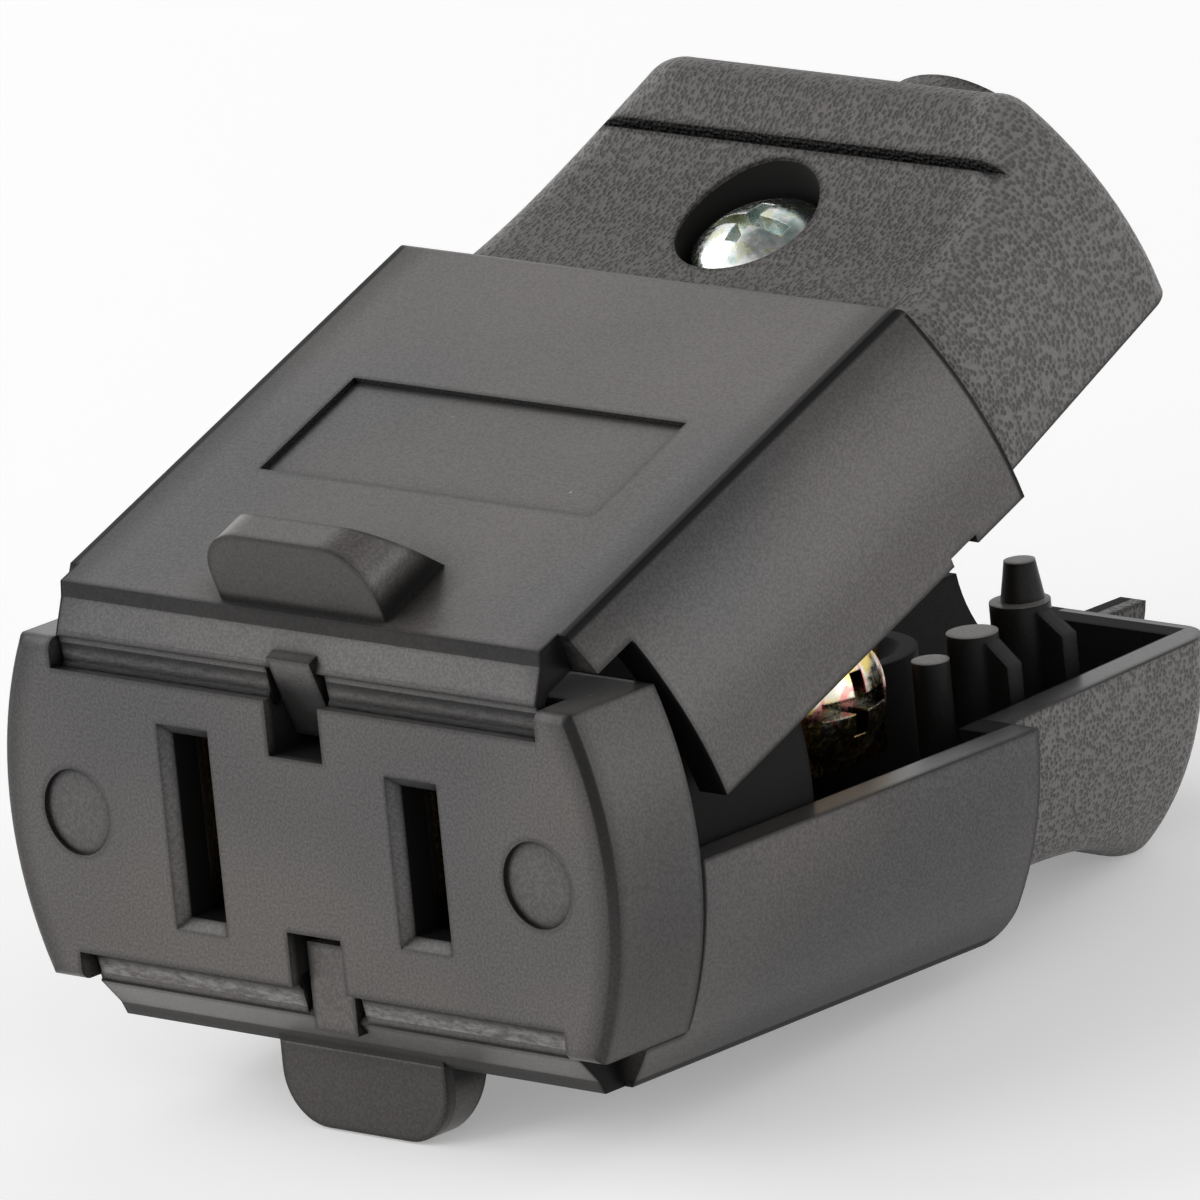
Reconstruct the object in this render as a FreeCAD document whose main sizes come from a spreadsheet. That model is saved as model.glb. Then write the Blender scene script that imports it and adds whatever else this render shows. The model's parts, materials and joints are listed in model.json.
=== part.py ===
"""Two-pole straight blade cord connector with two hinged covers.

A face block carries the blade slots and the brass contacts. An upper and a lower cover hinge on its
front edges and close round the wiring; a clamp screw in the upper cover pulls them onto the cord.
X runs across the face, Y from the face to the cord, Z up. The origin is the middle of the face.
Lengths are millimetres and angles are degrees.
"""
import FreeCAD, Part
import math
import os
import re
import Sketcher

doc = FreeCAD.newDocument("cord_connector")
sheet = doc.addObject("Spreadsheet::Sheet", "Sizes")

SIZES = [
    ("slot_pitch", 12.7, "blade slots, centre to centre"),
    ("slot_width", 2.0, "blade slot width"),
    ("neutral_slot_height", 7.9, "wide slot of the polarised pair"),
    ("hot_slot_height", 6.4, "narrow slot"),
    ("slot_lead_in", 0.45, "chamfer round each slot"),
    ("body_radius", 16.7, "round sides of the covers"),
    ("body_half_height", 9.35, "axis to the flat of a closed cover"),
    ("cover_wall", 1.5, "cover wall"),
    ("part_gap", 0.1, "between the closed covers"),
    ("cover_clearance", 0.25, "cover over the flange flat"),
    ("cover_gap", 0.4, "cover's sides behind the flange"),
    ("brow_thickness", 1.75, "cover over the flange"),
    ("flange_proud", 0.35, "flange outside the covers' sides"),
    ("flange_depth", 5.3, "flange, front to back"),
    ("flange_round", 0.5, "rounded front edge of the flange"),
    ("carrier_side_gap", 0.5, "contact carrier inside the covers' sides"),
    ("carrier_flat_gap", 1.55, "contact carrier inside the covers' flats"),
    ("carrier_depth", 9.5, "carrier behind the flange"),
    ("face_wall", 1.8, "face in front of the contact cavities"),
    ("dimple_inset", 4.15, "round ejector marks from the flange's sides"),
    ("dimple_radius", 1.85, "ejector mark radius"),
    ("dimple_depth", 0.2, "ejector mark depth"),
    ("hinge_y", 0.9, "hinge axis behind the face"),
    ("bead_radius", 0.35, "root bead of the hinge web"),
    ("bead_clearance", 0.07, "bead in its groove"),
    ("web_thickness", 0.45, "hinge web"),
    ("web_lean", 0.35, "hinge web, root to lip along Y"),
    ("rebate_inset", 1.8, "hinge rebate from the flange's corner"),
    ("rebate_height", 1.25, "hinge rebate below the flange's flat"),
    ("rebate_depth", 2.0, "hinge rebate behind the face"),
    ("hinge_end_gap", 0.15, "lip and web ends in the rebate"),
    ("notch_half", 1.5, "half width of the locating notch"),
    ("notch_height", 3.6, "locating notch below the flange's flat"),
    ("notch_depth", 4.0, "locating notch behind the face"),
    ("tongue_clearance", 0.3, "tongue in the locating notch"),
    ("tongue_tip_gap", 0.55, "tongue over the notch's floor"),
    ("tongue_front", 0.8, "tongue behind the face"),
    ("tongue_thickness", 1.7, "tongue, front to back"),
    ("tongue_rise", 0.55, "tongue above the lip's foremost edge"),
    ("brow_front", 3.4, "front of a cover's shoulders"),
    ("lip_top", 2.24, "front edge of a cover's flat"),
    ("lip_step", 0.6, "step below that edge"),
    ("lip_step_run", 0.3, "how far the step leans forward"),
    ("lip_nose_y", 0.9, "foremost edge of the lip"),
    ("lip_drop", 1.8, "that edge below the cover's flat"),
    ("lip_under", 0.35, "underside of the lip below that edge"),
    ("body_rear", 26.5, "rear shoulder of the covers"),
    ("upper_shoulder_round", 0.4, "rounded rear edge of the upper flat"),
    ("lower_shoulder_round", 1.5, "rounded rear edge of the lower flat"),
    ("neck_inset", 1.7, "neck inside the body's sides"),
    ("neck_step", 1.6, "neck below the body's flat"),
    ("neck_length", 14.7, "neck behind the shoulder"),
    ("neck_taper", 1.2, "narrowing of the neck's sides to the rear"),
    ("neck_rise", 4.1, "rise of the neck's flat to the rear"),
    ("neck_dip", 0.6, "how much the flat would fall to the rear at its first slope"),
    ("neck_round", 1.8, "rounded edges of the neck"),
    ("collar_radius", 6.1, "cord collar outside"),
    ("cord_radius", 4.7, "cord collar inside"),
    ("collar_length", 4.4, "cord collar behind the neck"),
    ("collar_gap", 0.8, "collar edge above the parting plane"),
    ("tab_half", 4.6, "half width of the thumb tab"),
    ("tab_height", 3.45, "thumb tab over the cover's flat"),
    ("upper_tab_front", 2.6, "front of the upper thumb tab"),
    ("upper_tab_depth", 4.0, "upper thumb tab, front to back"),
    ("lower_tab_front", 2.1, "front of the lower thumb tab"),
    ("lower_tab_depth", 2.8, "lower thumb tab, front to back"),
    ("tab_crest", 1.5, "top of the thumb tab, front to back"),
    ("tab_round", 2.3, "rounded corners of the thumb tab"),
    ("panel_half", 9.3, "half width of the sunk panel"),
    ("panel_front", 10.9, "front of the sunk panel"),
    ("panel_length", 6.5, "sunk panel, front to back"),
    ("panel_depth", 0.25, "sunk panel depth"),
    ("groove_inset", 4.6, "groove across the neck from its end"),
    ("groove_width", 0.5, "groove width"),
    ("groove_depth", 0.45, "groove depth"),
    ("rim_notch_inset", 4.1, "notch in the upper rim from the shoulder"),
    ("rim_notch_width", 1.7, "rim notch, front to back"),
    ("rim_notch_depth", 0.4, "rim notch above the parting plane"),
    ("clamp_inset", 6.1, "clamp screw behind the shoulder"),
    ("clamp_sink", 1.8, "seat of the screw's head below the neck's flat"),
    ("clamp_bore_gap", 0.45, "bore round the screw's head"),
    ("clamp_boss_wall", 1.1, "boss round that bore"),
    ("seat_wall", 1.6, "floor under the screw's head"),
    ("clamp_head", 2.85, "clamp screw head radius"),
    ("clamp_head_rim", 0.8, "straight rim of the head"),
    ("clamp_head_height", 1.8, "clamp screw head height"),
    ("clamp_shank", 1.6, "clamp screw shank radius"),
    ("clamp_shank_gap", 0.3, "shank in the upper cover"),
    ("clamp_reach", 3.5, "screw tip below the parting plane"),
    ("clamp_point", 1.6, "length of the screw's point"),
    ("pilot_gap", 0.25, "shank in the lower boss"),
    ("pilot_end_gap", 0.7, "pilot hole below the screw's tip"),
    ("pilot_flare", 0.85, "countersink round the pilot hole"),
    ("pilot_flare_depth", 1.0, "depth of that countersink"),
    ("lower_boss_wall", 1.65, "boss round the pilot hole"),
    ("boss_drop", 0.3, "boss top below the parting plane"),
    ("strip", 0.8, "contact strip thickness"),
    ("blade_thickness", 1.5, "gap between the contact leaves"),
    ("leaf_front_gap", 1.4, "leaves behind the face wall"),
    ("leaf_margin", 0.6, "slot height less leaf height"),
    ("leaf_overhang", 0.8, "leaves behind the carrier"),
    ("leaf_base_front", 8.0, "front of the strip joining the leaves"),
    ("leaf_flare", 0.5, "flare at the mouth of the leaves"),
    ("leaf_flare_length", 1.6, "length of that flare"),
    ("cavity_gap", 0.15, "contact in its cavity"),
    ("terminal_inset", 2.7, "terminal screw in front of the shoulder"),
    ("terminal_z", 0.9, "terminal screw above the middle"),
    ("terminal_half", 3.0, "half size of the terminal plate"),
    ("terminal_head", 2.5, "terminal screw head radius"),
    ("terminal_head_rim", 0.7, "straight rim of the head"),
    ("terminal_head_height", 1.6, "terminal screw head height"),
    ("terminal_shank", 1.7, "terminal screw shank radius"),
    ("terminal_shank_length", 4.4, "terminal screw shank"),
    ("terminal_tip", 0.4, "chamfered tip of the terminal screw"),
    ("thread_gap", 0.1, "terminal screw in its plate"),
    ("recess_slot", 1.9, "half length of the driver slot"),
    ("recess_cross", 1.35, "half length of the crossing slot"),
    ("recess_half", 0.36, "half width of both slots"),
    ("recess_depth", 0.9, "driver recess depth"),
    ("guide_inset", 4.8, "wire guide posts from the neck's sides"),
    ("guide_first_inset", 0.9, "small guide post behind the shoulder"),
    ("guide_first_radius", 0.8, "small guide post radius"),
    ("guide_first_top", 1.9, "its top above the parting plane"),
    ("guide_middle_inset", 3.6, "middle guide post behind the shoulder"),
    ("guide_middle_radius", 1.1, "middle guide post radius"),
    ("guide_middle_top", 2.4, "its top above the parting plane"),
    ("guide_rear_inset", 7.9, "rear guide post behind the shoulder"),
    ("guide_rear_shift", 1.1, "rear guide post nearer the middle"),
    ("guide_rear_radius", 1.3, "rear guide post radius"),
    ("guide_rear_top", 2.5, "its top above the parting plane"),
    ("guide_pin_offset", 0.2, "locating pin behind the rear post's axis"),
    ("guide_pin_radius", 0.95, "locating pin at its root"),
    ("guide_pin_tip", 0.67, "locating pin at its tip"),
    ("guide_pin_height", 1.7, "locating pin on the rear post"),
    ("guide_foot_gap", 0.2, "wire guide above the floor of the neck"),
    ("rail_height", 1.4, "strip that joins the guide posts at their feet"),
    ("rail_inset", 0.3, "that strip inside the posts' middles"),
    ("rib_thickness", 0.9, "rib from a guide post towards the side wall"),
    ("rib_foot", 3.5, "foot of the rib below the parting plane"),
    ("rib_drop", 1.2, "fall of the rib's sloping top"),
    ("open_angle", 21.2, "upper cover as it stands open"),
]
FOLLOWS = {
    "flange_radius": "body_radius + flange_proud",
    "flange_half_height": "body_half_height - brow_thickness - cover_clearance",
    "flange_corner": "sqrt(flange_radius ^ 2 - flange_half_height ^ 2)",
    "carrier_radius": "body_radius - cover_wall - carrier_side_gap",
    "carrier_half_height": "body_half_height - cover_wall - carrier_flat_gap",
    "block_rear": "flange_depth + carrier_depth",
    "dimple_x": "flange_radius - dimple_inset",
    "rebate_half": "flange_corner - rebate_inset",
    "hinge_z": "flange_half_height - rebate_height",
    "notch_floor": "flange_half_height - notch_height",
    "tongue_tip": "notch_floor + tongue_tip_gap",
    "cover_front": "flange_depth + cover_gap",
    "rim_z": "part_gap / 2",
    "brow_z": "flange_half_height + cover_clearance",
    "lip_half": "rebate_half - hinge_end_gap",
    "lip_nose_z": "body_half_height - lip_drop",
    "neck_root_radius": "body_radius - neck_inset",
    "neck_root_height": "body_half_height - neck_step",
    "neck_rear": "body_rear + neck_length",
    "throat_front": "body_rear - cover_wall",
    "throat_rear": "neck_rear - cover_wall",
    "collar_rear": "neck_rear + collar_length",
    "tab_top": "body_half_height + tab_height",
    "panel_rear": "panel_front + panel_length",
    "groove_y": "neck_rear - groove_inset",
    "rim_notch_y": "body_rear - rim_notch_inset",
    "clamp_y": "body_rear + clamp_inset",
    "clamp_part": "clamp_inset / neck_length",
    "clamp_flat": "neck_root_height - neck_dip * clamp_part + (neck_rise + neck_dip) * clamp_part ^ 3",
    "clamp_seat": "clamp_flat - clamp_sink",
    "clamp_bore": "clamp_head + clamp_bore_gap",
    "clamp_boss": "clamp_bore + clamp_boss_wall",
    "pilot": "clamp_shank + pilot_gap",
    "pilot_depth": "clamp_reach + pilot_end_gap",
    "lower_boss": "pilot + lower_boss_wall",
    "leaf_rear": "block_rear + leaf_overhang",
    "terminal_y": "body_rear - terminal_inset",
    "guide_x": "neck_root_radius - guide_inset",
    "guide_rear_x": "guide_x - guide_rear_shift",
    "guide_first_y": "body_rear + guide_first_inset",
    "guide_middle_y": "body_rear + guide_middle_inset",
    "guide_rear_y": "body_rear + guide_rear_inset",
    "guide_pin_top": "guide_rear_top + guide_pin_height",
    "guide_foot": "neck_root_height - cover_wall - guide_foot_gap",
}
for row, (alias, value, note) in enumerate(SIZES, start=1):
    sheet.set(f"A{row}", note)
    sheet.set(f"B{row}", str(value))
    sheet.setAlias(f"B{row}", alias)
doc.recompute()
ALIASES = {alias for alias, value, note in SIZES}
CUT_MARGIN = 2.0


def bound(text):
    """Write a formula of size names as an expression on the sheet."""
    def cell(word):
        name = word[0]
        if name in FOLLOWS:
            return f"({bound(FOLLOWS[name])})"
        return f"Sizes.{name}" if name in ALIASES else name
    return re.sub(r"[a-z_]+", cell, text)


def neck_flat(y):
    """Half height of the neck's hollow flat, which flares to the rear, at a distance behind the face."""
    part = f"(({y} - body_rear) / neck_length)"
    return f"(neck_root_height - neck_dip * {part} + (neck_rise + neck_dip) * {part} ^ 3)"


def neck_side(y):
    """Radius of the neck's sides at a distance behind the face."""
    return f"(neck_root_radius - neck_taper * ({y} - body_rear) / neck_length)"


def number(text):
    """Value of a formula of size names."""
    return float(sheet.evalExpression(bound(text)))


def new_body(label):
    body = doc.addObject("PartDesign::Body", label)
    body.Label = label
    return body


def sketch_on(body, role, name, offset="0", right="0", up="0"):
    """Sketch on one of the body's origin planes, moved along its normal and within the plane."""
    sketch = body.newObject("Sketcher::SketchObject", f"{body.Name}_{name}")
    plane = next(feature for feature in body.Origin.OriginFeatures if feature.Role == role)
    sketch.AttachmentSupport = [(plane, "")]
    sketch.MapMode = "FlatFace"
    for axis, formula in (("x", right), ("y", up), ("z", offset)):
        sketch.setExpression(f"AttachmentOffset.Base.{axis}", bound(formula))
    return sketch


def across(body, name, y):
    """Sketch across the connector (X to the right, Z up) at a distance behind the face."""
    return sketch_on(body, "XZ_Plane", name, offset=f"-({y})")


def pin_point(sketch, geometry, point, x, y):
    """Tie a point of the sketch to its two coordinates."""
    for kind, formula in (("DistanceX", x), ("DistanceY", y)):
        if formula is not None:
            constraint = Sketcher.Constraint(kind, -1, 1, geometry, point, number(formula))
            index = sketch.addConstraint(constraint)
            sketch.setExpression(f"Constraints[{index}]", bound(formula))


def outline(sketch, corners):
    """Closed outline through corners (x, y). A corner (x, y, centre_x, centre_y, pinned) starts an arc
    about that centre, of which only the coordinate named in pinned is tied."""
    first = sketch.GeometryCount
    count = len(corners)
    ends = []
    for here, there in zip(corners, corners[1:] + corners[:1]):
        start = FreeCAD.Vector(number(here[0]), number(here[1]), 0)
        end = FreeCAD.Vector(number(there[0]), number(there[1]), 0)
        if len(here) == 2:
            sketch.addGeometry(Part.LineSegment(start, end), False)
            ends.append((1, 2))
            continue
        centre = FreeCAD.Vector(number(here[2]), number(here[3]), 0)
        turn = [math.atan2(p.y - centre.y, p.x - centre.x) for p in (start, end)]
        forward = (start - centre).cross(end - centre).z > 0
        circle = Part.Circle(centre, FreeCAD.Vector(0, 0, 1), (start - centre).Length)
        sketch.addGeometry(Part.ArcOfCircle(circle, *(turn if forward else turn[::-1])), False)
        ends.append((1, 2) if forward else (2, 1))
    for i in range(count):
        after = (i + 1) % count
        joint = Sketcher.Constraint("Coincident", first + i, ends[i][1], first + after, ends[after][0])
        sketch.addConstraint(joint)
    for i, corner in enumerate(corners):
        pin_point(sketch, first + i, ends[i][0], corner[0], corner[1])
        if len(corner) == 5:
            x, y = (corner[2], None) if corner[4] == "x" else (None, corner[3])
            pin_point(sketch, first + i, 3, x, y)
    return sketch


def rectangle(sketch, x0, x1, y0, y1):
    return outline(sketch, [(x0, y0), (x1, y0), (x1, y1), (x0, y1)])


def ring(sketch, x, y, radius):
    """Circle tied to its centre and radius."""
    index = sketch.addGeometry(Part.Circle(FreeCAD.Vector(number(x), number(y), 0), FreeCAD.Vector(0, 0, 1),
                                           number(radius)), False)
    pin_point(sketch, index, 3, x, y)
    constraint = sketch.addConstraint(Sketcher.Constraint("Radius", index, number(radius)))
    sketch.setExpression(f"Constraints[{constraint}]", bound(radius))
    return sketch


def sided_flats(sketch, radius, half_height):
    """Circle cut by two level flats."""
    x = f"sqrt(({radius}) ^ 2 - ({half_height}) ^ 2)"
    return outline(sketch, [
        (x, half_height), (f"-{x}", half_height, "0", "0", "x"),
        (f"-{x}", f"-({half_height})"), (x, f"-({half_height})", "0", "0", "x"),
    ])


def half_section(sketch, radius, half_height, foot):
    """Upper half of a circle cut by a flat, ending on level feet at the given height."""
    top_x = f"sqrt(({radius}) ^ 2 - ({half_height}) ^ 2)"
    foot_x = f"sqrt(({radius}) ^ 2 - ({foot}) ^ 2)"
    return outline(sketch, [
        (foot_x, foot, "0", "0", "y"), (top_x, half_height),
        (f"-{top_x}", half_height, "0", "0", "y"), (f"-{foot_x}", foot),
    ])


def feature(body, kind, name, sketch, length, reverse=False):
    """Pad or Pocket of a sketch with a tied length. A pocket has to take material away."""
    before = body.Shape.Volume if kind == "Pocket" else 0.0
    made = body.newObject(f"PartDesign::{kind}", f"{body.Name}_{name}")
    made.Profile = sketch
    made.setExpression("Length", bound(length))
    made.Reversed = reverse
    doc.recompute()
    if kind == "Pocket" and body.Shape.Volume >= before:
        raise RuntimeError(f"{made.Name} cuts nothing")
    return made


def pad_back(body, name, sketch, length):
    """Pad of a sketch across the connector, towards the cord."""
    return feature(body, "Pad", name, sketch, length, reverse=True)


def edges_where(shape, test):
    """Names of the edges whose sampled points all pass a test."""
    names = []
    for index, edge in enumerate(shape.Edges, start=1):
        if all(test(point) for point in edge.discretize(5)):
            names.append(f"Edge{index}")
    return names


def dress(body, kind, name, base, test, radius_property, radius):
    """Fillet or Chamfer on the edges of a feature that pass a test."""
    doc.recompute()
    names = edges_where(base.Shape, test)
    if not names:
        raise RuntimeError(f"{body.Name}_{name} finds no edge")
    made = body.newObject(f"PartDesign::{kind}", f"{body.Name}_{name}")
    made.Base = (base, names)
    made.setExpression(radius_property, bound(radius))
    doc.recompute()
    return made


def near(value, target):
    return abs(value - target) < 1e-3


def make_face_block():
    """Flange with the face, the contact carrier behind it, slots, hinge rebates and cavities."""
    body = new_body("face_block")
    flange = pad_back(body, "flange", sided_flats(across(body, "flange_outline", "0"),
                                                  "flange_radius", "flange_half_height"), "flange_depth")
    dress(body, "Fillet", "front_round", flange, lambda p: near(p.y, 0.0), "Radius", "flange_round")
    pad_back(body, "carrier", sided_flats(across(body, "carrier_outline", "flange_depth"),
                                          "carrier_radius", "carrier_half_height"), "carrier_depth")
    rebates = sketch_on(body, "YZ_Plane", "rebate_outline", offset="rebate_half")
    grooves = sketch_on(body, "YZ_Plane", "groove_outline", offset="rebate_half")
    notches = across(body, "notch_outline", "0")
    for side in ("", "-"):
        top = f"{side}(flange_half_height + {CUT_MARGIN})"
        rectangle(rebates, f"-{CUT_MARGIN}", "rebate_depth", f"{side}hinge_z", top)
        ring(grooves, "hinge_y", f"{side}hinge_z", "bead_radius + bead_clearance")
        rectangle(notches, "-notch_half", "notch_half", f"{side}notch_floor", top)
    feature(body, "Pocket", "rebates", rebates, "2 * rebate_half")
    feature(body, "Pocket", "grooves", grooves, "2 * rebate_half")
    feature(body, "Pocket", "notches", notches, "notch_depth")
    slots = across(body, "slot_outline", "0")
    cavities = across(body, "cavity_outline", "block_rear")
    dimples = across(body, "dimple_outline", "0")
    for side, height in (("-", "neutral_slot_height"), ("", "hot_slot_height")):
        middle = f"{side}slot_pitch / 2"
        reach = "(blade_thickness / 2 + strip + leaf_flare + cavity_gap)"
        leaf = f"(({height} - leaf_margin) / 2 + strip)"
        rectangle(slots, f"{middle} - slot_width / 2", f"{middle} + slot_width / 2", f"-{height} / 2", f"{height} / 2")
        rectangle(cavities, f"{middle} - {reach}", f"{middle} + {reach}", f"-{leaf}", f"{leaf} + cavity_gap")
        ring(dimples, f"{side}dimple_x", "0", "dimple_radius")
    slot_cut = feature(body, "Pocket", "slots", slots, "face_wall + leaf_front_gap")
    slot_reach = number("slot_pitch / 2 + slot_width")
    notch_foot = number("notch_floor") + 0.5
    dress(body, "Chamfer", "lead_ins", slot_cut,
          lambda p: near(p.y, 0.0) and abs(p.x) < slot_reach and abs(p.x) > number("notch_half") + 0.1
          and abs(p.z) < notch_foot + 0.2, "Size", "slot_lead_in")
    feature(body, "Pocket", "dimples", dimples, "dimple_depth")
    feature(body, "Pocket", "cavities", cavities, f"block_rear - face_wall", reverse=True)
    return body


def make_contact(label, side, slot_height):
    """Twin-leaf brass contact with a terminal plate. side is the sign of its X."""
    body = new_body(label)
    middle = "slot_pitch / 2"
    leaf = f"(({slot_height} - leaf_margin) / 2)"
    front = "(face_wall + leaf_front_gap)"
    leaves = sketch_on(body, "XY_Plane", "leaf_outline", offset=f"-{leaf}")
    for bend in ("+", "-"):
        inner = f"({middle} {bend} blade_thickness / 2)"
        outer = f"({middle} {bend} (blade_thickness / 2 + strip))"
        waist = f"({front} + leaf_flare_length)"
        outline(leaves, [
            (f"{side}({inner} {bend} leaf_flare)", front), (f"{side}{inner}", waist),
            (f"{side}{inner}", "leaf_rear"), (f"{side}{outer}", "leaf_rear"),
            (f"{side}{outer}", waist), (f"{side}({outer} {bend} leaf_flare)", front),
        ])
    inner = f"{side}({middle} + blade_thickness / 2)"
    outer = f"{side}({middle} + blade_thickness / 2 + strip)"
    base = sketch_on(body, "XY_Plane", "base_outline", offset=f"-{leaf} - strip")
    rectangle(base, f"{side}({middle} - blade_thickness / 2 - strip)", outer, "leaf_base_front", "leaf_rear")
    feature(body, "Pad", "base", base, "strip")
    feature(body, "Pad", "leaves", leaves, f"2 * {leaf}")
    plate = sketch_on(body, "XY_Plane", "plate_outline", offset="terminal_z - terminal_half")
    rectangle(plate, inner, outer, "leaf_rear", "terminal_y + terminal_half")
    feature(body, "Pad", "plate", plate, "2 * terminal_half")
    hole = sketch_on(body, "YZ_Plane", "hole_outline", offset=f"{outer} + {side}{CUT_MARGIN}")
    ring(hole, "terminal_y", "terminal_z", "terminal_shank + thread_gap")
    feature(body, "Pocket", "hole", hole, f"strip + {2 * CUT_MARGIN}", reverse=(side == "-"))
    return body


def turned(body, name, sketch, axis):
    """Full revolution of a sketch about one of its own axes."""
    made = body.newObject("PartDesign::Revolution", f"{body.Name}_{name}")
    made.Profile = sketch
    made.ReferenceAxis = (sketch, [axis])
    made.Angle = 360.0
    doc.recompute()
    return made


def driver_recess(sketch, x, y):
    """Outline of a slot crossed by a shorter slot."""
    long_arm, short_arm, half = "recess_slot", "recess_cross", "recess_half"
    steps = [(long_arm, half), (half, half), (half, short_arm), (f"-{half}", short_arm), (f"-{half}", half),
             (f"-{long_arm}", half)]
    lower = [(f"-({px})", f"-({py})") for px, py in steps]
    return outline(sketch, [(f"{x} + {px}", f"{y} + {py}") for px, py in steps + lower])


def dome_centre(foot, top, radius):
    """Centre of the arc that rises from a head's rim to the top of the head on its axis."""
    rise = f"({top} - ({foot}))"
    return f"({top} - (({radius}) ^ 2 + {rise} ^ 2) / (2 * {rise}))"


def make_terminal_screw(label, side):
    """Terminal screw with a domed head on the outer side of its plate."""
    body = new_body(label)
    seat = "(slot_pitch / 2 + blade_thickness / 2 + strip)"
    rim, top = f"({seat} + terminal_head_rim)", f"({seat} + terminal_head_height)"
    profile = sketch_on(body, "XY_Plane", "profile", offset="terminal_z", up="terminal_y")
    tip = f"({seat} - terminal_shank_length)"
    centre = dome_centre(rim, top, "terminal_head")
    outline(profile, [
        (f"{side}{tip}", "0"), (f"{side}{tip}", "terminal_shank - terminal_tip"),
        (f"{side}({tip} + terminal_tip)", "terminal_shank"), (f"{side}{seat}", "terminal_shank"),
        (f"{side}{seat}", "terminal_head"), (f"{side}{rim}", "terminal_head", f"{side}{centre}", "0", "y"),
        (f"{side}{top}", "0"),
    ])
    turned(body, "turning", profile, "H_Axis")
    recess = sketch_on(body, "YZ_Plane", "recess_outline", offset=f"{side}({top} + {CUT_MARGIN})")
    driver_recess(recess, "terminal_y", "terminal_z")
    feature(body, "Pocket", "recess", recess, f"recess_depth + {CUT_MARGIN}", reverse=(side == "-"))
    return body


def make_clamp_screw():
    """Clamp screw with a domed head and a pointed shank, drawn in the closed upper cover."""
    body = new_body("clamp_screw")
    profile = across(body, "profile", "clamp_y")
    rim, top = "(clamp_seat + clamp_head_rim)", "(clamp_seat + clamp_head_height)"
    outline(profile, [
        ("0", "-clamp_reach"), ("clamp_shank", "clamp_point - clamp_reach"), ("clamp_shank", "clamp_seat"),
        ("clamp_head", "clamp_seat"), ("clamp_head", rim, "0", dome_centre(rim, top, "clamp_head"), "x"),
        ("0", top),
    ])
    turned(body, "turning", profile, "V_Axis")
    recess = sketch_on(body, "XY_Plane", "recess_outline", offset=f"{top} + {CUT_MARGIN}")
    driver_recess(recess, "0", "clamp_y")
    feature(body, "Pocket", "recess", recess, f"recess_depth + {CUT_MARGIN}")
    return body


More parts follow.
